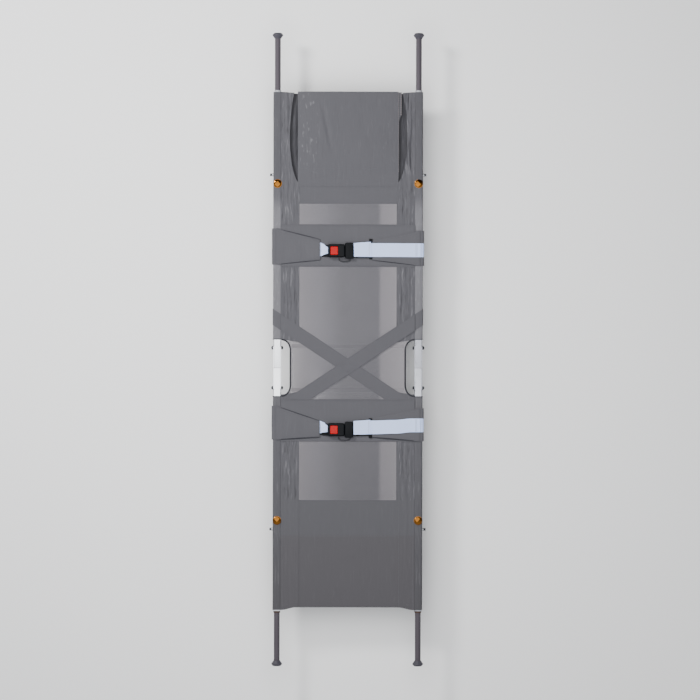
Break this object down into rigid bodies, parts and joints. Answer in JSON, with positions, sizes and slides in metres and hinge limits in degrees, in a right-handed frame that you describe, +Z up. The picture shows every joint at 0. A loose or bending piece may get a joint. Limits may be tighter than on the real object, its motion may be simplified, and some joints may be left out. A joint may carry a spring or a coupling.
{
  "type": "folding pole stretcher",
  "caption": "Folding carrying stretcher: hinged poles, sliding handles, folding spreaders on strip feet, fabric bed with buckled belts.",
  "frame": {"origin": "on the floor, under the middle of the stretcher's length and width", "axes": "+Z up, +Y along the poles towards the head end, +X to the right of someone lying face up with the head at +Y seen from above"},
  "size_m": [0.562, 2.28, 0.1619],
  "materials": {
    "bare_aluminium": "drawn tube, satin",
    "grey_tube": "smooth grey coat",
    "black_plastic": "fine moulded grain",
    "dark_plastic": "fine moulded grain",
    "red_plastic": "glossy",
    "brass": "polished",
    "zinc_steel": "zinc plated",
    "dark_steel": "blackened",
    "cover_fabric": "coated woven cloth",
    "belt_webbing": "ribbed woven webbing"
  },
  "bodies": {
    "foot_left": {"pole_foot_left": "bare_aluminium", "guide_foot_left": "dark_plastic", "bracket_foot_left": "zinc_steel", "foot_strip_foot_left": "zinc_steel", "fasteners_foot_left": "brass", "sleeve_foot_left": "cover_fabric", "bed_foot": "cover_fabric", "band_leg": "cover_fabric", "cross_straps_foot": "cover_fabric", "belt_covers_leg": "cover_fabric", "belt_webbing_leg": "belt_webbing"},
    "hinge_left": {"hinge_channel_left": "bare_aluminium", "hinge_pins_left": "dark_steel", "bed_middle": "cover_fabric", "cross_straps_middle": "cover_fabric"},
    "head_left": {"pole_head_left": "bare_aluminium", "guide_head_left": "dark_plastic", "bracket_head_left": "zinc_steel", "foot_strip_head_left": "zinc_steel", "fasteners_head_left": "brass", "sleeve_head_left": "cover_fabric", "bed_head": "cover_fabric", "pillow_pocket": "cover_fabric", "band_chest": "cover_fabric", "cross_straps_head": "cover_fabric", "belt_covers_chest": "cover_fabric", "belt_webbing_chest": "belt_webbing"},
    "foot_right": {"pole_foot_right": "bare_aluminium", "guide_foot_right": "dark_plastic", "bracket_foot_right": "zinc_steel", "foot_strip_foot_right": "zinc_steel", "fasteners_foot_right": "brass", "sleeve_foot_right": "cover_fabric"},
    "hinge_right": {"hinge_channel_right": "bare_aluminium", "hinge_pins_right": "dark_steel"},
    "head_right": {"pole_head_right": "bare_aluminium", "guide_head_right": "dark_plastic", "bracket_head_right": "zinc_steel", "foot_strip_head_right": "zinc_steel", "fasteners_head_right": "brass", "sleeve_head_right": "cover_fabric"},
    "arm_head_left": {"arm_head_left": "zinc_steel"},
    "handle_head_left": {"handle_head_left": "grey_tube"},
    "lock_head_left": {"lock_pin_head_left": "zinc_steel"},
    "arm_head_right": {"arm_head_right": "zinc_steel"},
    "handle_head_right": {"handle_head_right": "grey_tube"},
    "lock_head_right": {"lock_pin_head_right": "zinc_steel"},
    "arm_foot_left": {"arm_foot_left": "zinc_steel"},
    "handle_foot_left": {"handle_foot_left": "grey_tube"},
    "lock_foot_left": {"lock_pin_foot_left": "zinc_steel"},
    "arm_foot_right": {"arm_foot_right": "zinc_steel"},
    "handle_foot_right": {"handle_foot_right": "grey_tube"},
    "lock_foot_right": {"lock_pin_foot_right": "zinc_steel"},
    "buckle_chest": {"buckle_chest": "black_plastic"},
    "button_chest": {"button_chest": "red_plastic"},
    "tongue_chest": {"tongue_chest": "black_plastic"},
    "buckle_leg": {"buckle_leg": "black_plastic"},
    "button_leg": {"button_leg": "red_plastic"},
    "tongue_leg": {"tongue_leg": "black_plastic"}
  },
  "joints": [
    {"name": "length_fold", "type": "hinge", "parent": "foot_left", "child": "hinge_left", "pos_m": [-0.254, -0.138, 0.124], "axis": [-1, 0, 0], "range_deg": [0, 90]},
    {"name": "length_fold_head_left", "type": "hinge", "parent": "hinge_left", "child": "head_left", "pos_m": [-0.254, 0.006, 0.124], "axis": [-1, 0, 0], "range_deg": [0, 90]},
    {"name": "width_fold", "type": "hinge", "parent": "foot_left", "child": "arm_foot_left", "pos_m": [-0.22, -0.615, 0.1], "axis": [0, 0, 1], "range_deg": [0, 82], "deforming": ["bed_foot", "bed_middle", "bed_head", "pillow_pocket", "band_chest", "band_leg", "cross_straps_head", "cross_straps_middle", "cross_straps_foot", "belt_covers_chest", "belt_covers_leg", "belt_webbing_chest", "belt_webbing_leg"]},
    {"name": "width_fold_foot_middle", "type": "hinge", "parent": "arm_foot_left", "child": "arm_foot_right", "pos_m": [0, -0.615, 0.1], "axis": [0, 0, 1], "range_deg": [-164, 0]},
    {"name": "width_fold_foot_right", "type": "hinge", "parent": "arm_foot_right", "child": "foot_right", "pos_m": [0.22, -0.615, 0.1], "axis": [0, 0, 1], "range_deg": [0, 82]},
    {"name": "length_fold_right", "type": "hinge", "parent": "foot_right", "child": "hinge_right", "pos_m": [0.254, -0.138, 0.124], "axis": [-1, 0, 0], "range_deg": [0, 90]},
    {"name": "length_fold_head_right", "type": "hinge", "parent": "hinge_right", "child": "head_right", "pos_m": [0.254, 0.006, 0.124], "axis": [-1, 0, 0], "range_deg": [0, 90]},
    {"name": "width_fold_head_left", "type": "hinge", "parent": "head_left", "child": "arm_head_left", "pos_m": [-0.22, 0.597, 0.1], "axis": [0, 0, -1], "range_deg": [0, 82]},
    {"name": "width_fold_head_middle", "type": "hinge", "parent": "arm_head_left", "child": "arm_head_right", "pos_m": [0, 0.597, 0.1], "axis": [0, 0, -1], "range_deg": [-164, 0]},
    {"name": "handle_slide_head_left", "type": "slide", "parent": "head_left", "child": "handle_head_left", "axis": [0, -1, 0], "range_m": [0, 0.187]},
    {"name": "lock_pull_head_left", "type": "slide", "parent": "head_left", "child": "lock_head_left", "axis": [-1, 0, 0], "range_m": [0, 0.005], "stiffness_N_per_m": 1500, "springref_m": -0.002},
    {"name": "handle_slide_head_right", "type": "slide", "parent": "head_right", "child": "handle_head_right", "axis": [0, -1, 0], "range_m": [0, 0.187]},
    {"name": "lock_pull_head_right", "type": "slide", "parent": "head_right", "child": "lock_head_right", "axis": [1, 0, 0], "range_m": [0, 0.005], "stiffness_N_per_m": 1500, "springref_m": -0.002},
    {"name": "handle_slide_foot_left", "type": "slide", "parent": "foot_left", "child": "handle_foot_left", "axis": [0, 1, 0], "range_m": [0, 0.173]},
    {"name": "lock_pull_foot_left", "type": "slide", "parent": "foot_left", "child": "lock_foot_left", "axis": [-1, 0, 0], "range_m": [0, 0.005], "stiffness_N_per_m": 1500, "springref_m": -0.002},
    {"name": "handle_slide_foot_right", "type": "slide", "parent": "foot_right", "child": "handle_foot_right", "axis": [0, 1, 0], "range_m": [0, 0.173]},
    {"name": "lock_pull_foot_right", "type": "slide", "parent": "foot_right", "child": "lock_foot_right", "axis": [1, 0, 0], "range_m": [0, 0.005], "stiffness_N_per_m": 1500, "springref_m": -0.002},
    {"name": "belt_gather_chest", "type": "slide", "parent": "head_left", "child": "buckle_chest", "axis": [-1, 0, 0], "range_m": [0, 0.1589]},
    {"name": "button_press_chest", "type": "slide", "parent": "buckle_chest", "child": "button_chest", "axis": [0, 0, -1], "range_m": [0, 0.003], "stiffness_N_per_m": 1000, "springref_m": -0.001},
    {"name": "tongue_release_chest", "type": "slide", "parent": "buckle_chest", "child": "tongue_chest", "axis": [1, 0, 0], "range_m": [0, 0.04]},
    {"name": "belt_gather_leg", "type": "slide", "parent": "foot_left", "child": "buckle_leg", "axis": [-1, 0, 0], "range_m": [0, 0.1589]},
    {"name": "button_press_leg", "type": "slide", "parent": "buckle_leg", "child": "button_leg", "axis": [0, 0, -1], "range_m": [0, 0.003], "stiffness_N_per_m": 1000, "springref_m": -0.001},
    {"name": "tongue_release_leg", "type": "slide", "parent": "buckle_leg", "child": "tongue_leg", "axis": [1, 0, 0], "range_m": [0, 0.04]}
  ],
  "couplings": [
    {"joint": "length_fold_head_left", "follows": "length_fold", "ratio": 1},
    {"joint": "length_fold_right", "follows": "length_fold", "ratio": 1},
    {"joint": "length_fold_head_right", "follows": "length_fold", "ratio": 1},
    {"joint": "width_fold_foot_middle", "follows": "width_fold", "ratio": -2},
    {"joint": "width_fold_foot_right", "follows": "width_fold", "ratio": 1},
    {"joint": "width_fold_head_left", "follows": "width_fold", "ratio": 1},
    {"joint": "width_fold_head_middle", "follows": "width_fold", "ratio": -2},
    {"joint": "belt_gather_chest", "follows": "width_fold", "m_per_rad": 0.11068},
    {"joint": "belt_gather_leg", "follows": "width_fold", "m_per_rad": 0.11068}
  ]
}
